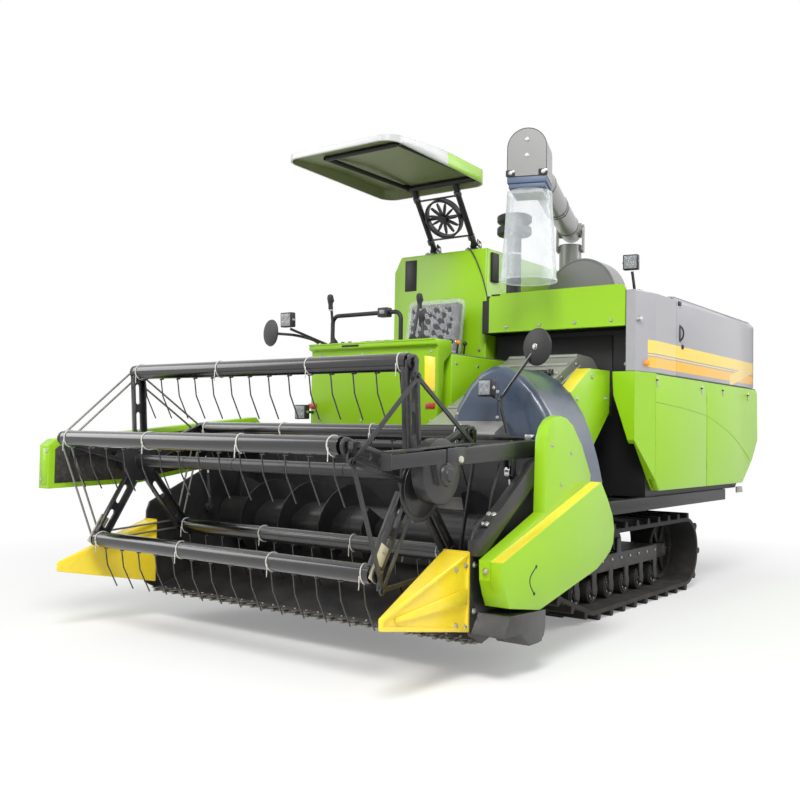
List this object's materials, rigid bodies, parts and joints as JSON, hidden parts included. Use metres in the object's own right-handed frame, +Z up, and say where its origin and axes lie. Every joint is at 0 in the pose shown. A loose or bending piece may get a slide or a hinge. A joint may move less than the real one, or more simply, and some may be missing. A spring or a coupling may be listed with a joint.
{
  "type": "combine harvester",
  "caption": "Tracked rice combine harvester with a wide tined reel, feeder house, open operator's platform under a canopy, grain tank and swing-over unloading auger.",
  "frame": {"origin": "on the floor at the middle of the machine's overall box", "axes": "-Y forwards to the reel, +X to the machine's left, +Z up"},
  "size_m": [2.42, 5.2412, 2.9405],
  "materials": {
    "black_plastic": "satin",
    "header_silver": "satin",
    "canopy_skin": "gloss",
    "dark_frame": "satin",
    "grey_cover": "gloss",
    "blade_steel": "worn",
    "clear_sleeve": "clear film",
    "yellow_paint": "gloss",
    "gearbox_iron": "painted",
    "green_paint": "gloss",
    "slate_hood": "satin",
    "chrome_rod": "polished",
    "seat_vinyl": "satin",
    "tine_black": "satin",
    "track_rubber": "matte",
    "grey_black": "satin",
    "silver_paint": "satin"
  },
  "bodies": {
    "machine": {"air_precleaner": "black_plastic", "canopy": "canopy_skin", "canopy_fan": "black_plastic", "canopy_posts": "dark_frame", "chassis_frame": "dark_frame", "control_levers": "black_plastic", "corner_cover": "grey_cover", "drive_gearbox": "gearbox_iron", "elevator_dome": "silver_paint", "engine_block": "gearbox_iron", "front_console": "green_paint", "front_panels": "green_paint", "grain_tank": "green_paint", "handrail": "dark_frame", "mirror_right": "black_plastic", "platform": "dark_frame", "seat_back": "seat_vinyl", "seat_base": "dark_frame", "seat_cushion": "seat_vinyl", "side_console": "grey_cover", "side_sills": "dark_frame", "straw_outlet": "dark_frame", "thresher_housing": "dark_frame", "track_frames": "dark_frame", "track_left": "track_rubber", "track_right": "track_rubber", "track_wheels": "gearbox_iron", "unloader_column": "silver_paint", "work_lamps": "black_plastic"},
    "header": {"feeder_house": "header_silver", "header_frame": "grey_black", "feeder_hood": "slate_hood", "feeder_drive_guard": "green_paint", "header_shield": "green_paint", "dividers": "yellow_paint", "cutter_bar": "blade_steel", "header_mirror": "black_plastic"},
    "auger": {"auger": "header_silver"},
    "reel_arms": {"reel_arms": "grey_black", "reel_guard": "green_paint"},
    "reel": {"reel_frame": "grey_black"},
    "control_ring": {"control_ring": "grey_black"},
    "unloader": {"unloader_tube": "silver_paint", "discharge_sleeve": "clear_sleeve"},
    "lid": {"upper_lid": "grey_cover"},
    "door_front": {"side_door_front": "green_paint"},
    "door_rear": {"side_door_rear": "green_paint"},
    "lift_barrel": {"lift_barrel": "dark_frame"},
    "lift_rod": {"lift_rod": "chrome_rod"},
    "fan_rotor": {"fan_rotor": "black_plastic"},
    "reel_barrel_left": {"reel_barrel_left": "dark_frame"},
    "reel_rod_left": {"reel_rod_left": "chrome_rod"},
    "reel_barrel_right": {"reel_barrel_right": "dark_frame"},
    "reel_rod_right": {"reel_rod_right": "chrome_rod"},
    "tine_bar_1": {"tine_bar_1": "tine_black"},
    "tine_bar_2": {"tine_bar_2": "tine_black"},
    "tine_bar_3": {"tine_bar_3": "tine_black"},
    "tine_bar_4": {"tine_bar_4": "tine_black"},
    "tine_bar_5": {"tine_bar_5": "tine_black"}
  },
  "joints": [
    {"name": "header_lift", "type": "hinge", "parent": "machine", "child": "header", "pos_m": [0, 0.06, 1.38], "axis": [-1, 0, 0], "range_deg": [-4, 20]},
    {"name": "auger_spin", "type": "hinge", "parent": "header", "child": "auger", "pos_m": [0, -1.325, 0.565], "axis": [1, 0, 0], "continuous": true},
    {"name": "reel_lift", "type": "hinge", "parent": "header", "child": "reel_arms", "pos_m": [0, -1.18, 1], "axis": [-1, 0, 0], "range_deg": [0, 20]},
    {"name": "reel_spin", "type": "hinge", "parent": "reel_arms", "child": "reel", "pos_m": [0, -2.116, 0.89], "axis": [1, 0, 0], "continuous": true},
    {"name": "control_ring_spin", "type": "hinge", "parent": "reel_arms", "child": "control_ring", "pos_m": [0, -2.116, 0.828], "axis": [1, 0, 0], "continuous": true},
    {"name": "tine_bar_1_turn", "type": "hinge", "parent": "reel", "child": "tine_bar_1", "pos_m": [0, -1.67033, 1.06826], "axis": [1, 0, 0], "continuous": true},
    {"name": "tine_bar_2_turn", "type": "hinge", "parent": "reel", "child": "tine_bar_2", "pos_m": [0, -2.14781, 1.36895], "axis": [1, 0, 0], "continuous": true},
    {"name": "tine_bar_3_turn", "type": "hinge", "parent": "reel", "child": "tine_bar_3", "pos_m": [0, -2.58133, 1.00775], "axis": [1, 0, 0], "continuous": true},
    {"name": "tine_bar_4_turn", "type": "hinge", "parent": "reel", "child": "tine_bar_4", "pos_m": [0, -2.37178, 0.48383], "axis": [1, 0, 0], "continuous": true},
    {"name": "tine_bar_5_turn", "type": "hinge", "parent": "reel", "child": "tine_bar_5", "pos_m": [0, -1.80875, 0.52122], "axis": [1, 0, 0], "continuous": true},
    {"name": "unloader_lift", "type": "hinge", "parent": "machine", "child": "unloader", "pos_m": [-0.37, 1.79, 2.796], "axis": [-0.9405, -0.3397, 0], "range_deg": [0, 30]},
    {"name": "lid_open", "type": "hinge", "parent": "machine", "child": "lid", "pos_m": [0.47, 1.5, 1.994], "axis": [0, -1, 0], "range_deg": [0, 65]},
    {"name": "door_front_open", "type": "hinge", "parent": "machine", "child": "door_front", "pos_m": [0.962, 1.22, 1.1], "axis": [0, 0, 1], "range_deg": [0, 85]},
    {"name": "door_rear_open", "type": "hinge", "parent": "machine", "child": "door_rear", "pos_m": [0.962, 1.27, 1.1], "axis": [0, 0, -1], "range_deg": [0, 85]},
    {"name": "fan_spin", "type": "hinge", "parent": "machine", "child": "fan_rotor", "pos_m": [-0.5125, 0.09174, 2.59], "axis": [0, -0.8238, -0.5669], "continuous": true},
    {"name": "lift_barrel_tilt", "type": "hinge", "parent": "machine", "child": "lift_barrel", "pos_m": [0.06, -0.01, 0.545], "axis": [-1, 0, 0], "range_deg": [-6, 23]},
    {"name": "lift_rod_slide", "type": "slide", "parent": "lift_barrel", "child": "lift_rod", "axis": [0, -0.9915, -0.1305], "range_m": [-0.07, 0.31]},
    {"name": "reel_barrel_left_tilt", "type": "hinge", "parent": "header", "child": "reel_barrel_left", "pos_m": [0.99, -1.52, 0.6], "axis": [-1, 0, 0], "range_deg": [-3, 4]},
    {"name": "reel_rod_left_slide", "type": "slide", "parent": "reel_barrel_left", "child": "reel_rod_left", "axis": [0, -0.0968, 0.9953], "range_m": [0, 0.145]},
    {"name": "reel_barrel_right_tilt", "type": "hinge", "parent": "header", "child": "reel_barrel_right", "pos_m": [-1.083, -1.52, 0.6], "axis": [-1, 0, 0], "range_deg": [-3, 4]},
    {"name": "reel_rod_right_slide", "type": "slide", "parent": "reel_barrel_right", "child": "reel_rod_right", "axis": [0, -0.0968, 0.9953], "range_m": [0, 0.145]}
  ],
  "couplings": [
    {"joint": "control_ring_spin", "follows": "reel_spin", "ratio": 1},
    {"joint": "tine_bar_1_turn", "follows": "reel_spin", "ratio": -1},
    {"joint": "tine_bar_2_turn", "follows": "reel_spin", "ratio": -1},
    {"joint": "tine_bar_3_turn", "follows": "reel_spin", "ratio": -1},
    {"joint": "tine_bar_4_turn", "follows": "reel_spin", "ratio": -1},
    {"joint": "tine_bar_5_turn", "follows": "reel_spin", "ratio": -1},
    {"joint": "lift_barrel_tilt", "follows": "header_lift", "ratio": 1.06},
    {"joint": "lift_rod_slide", "follows": "header_lift", "m_per_rad": 0.83},
    {"joint": "reel_barrel_left_tilt", "follows": "reel_lift", "ratio": -0.056},
    {"joint": "reel_rod_left_slide", "follows": "reel_lift", "m_per_rad": 0.3825},
    {"joint": "reel_barrel_right_tilt", "follows": "reel_lift", "ratio": -0.056},
    {"joint": "reel_rod_right_slide", "follows": "reel_lift", "m_per_rad": 0.3825}
  ]
}
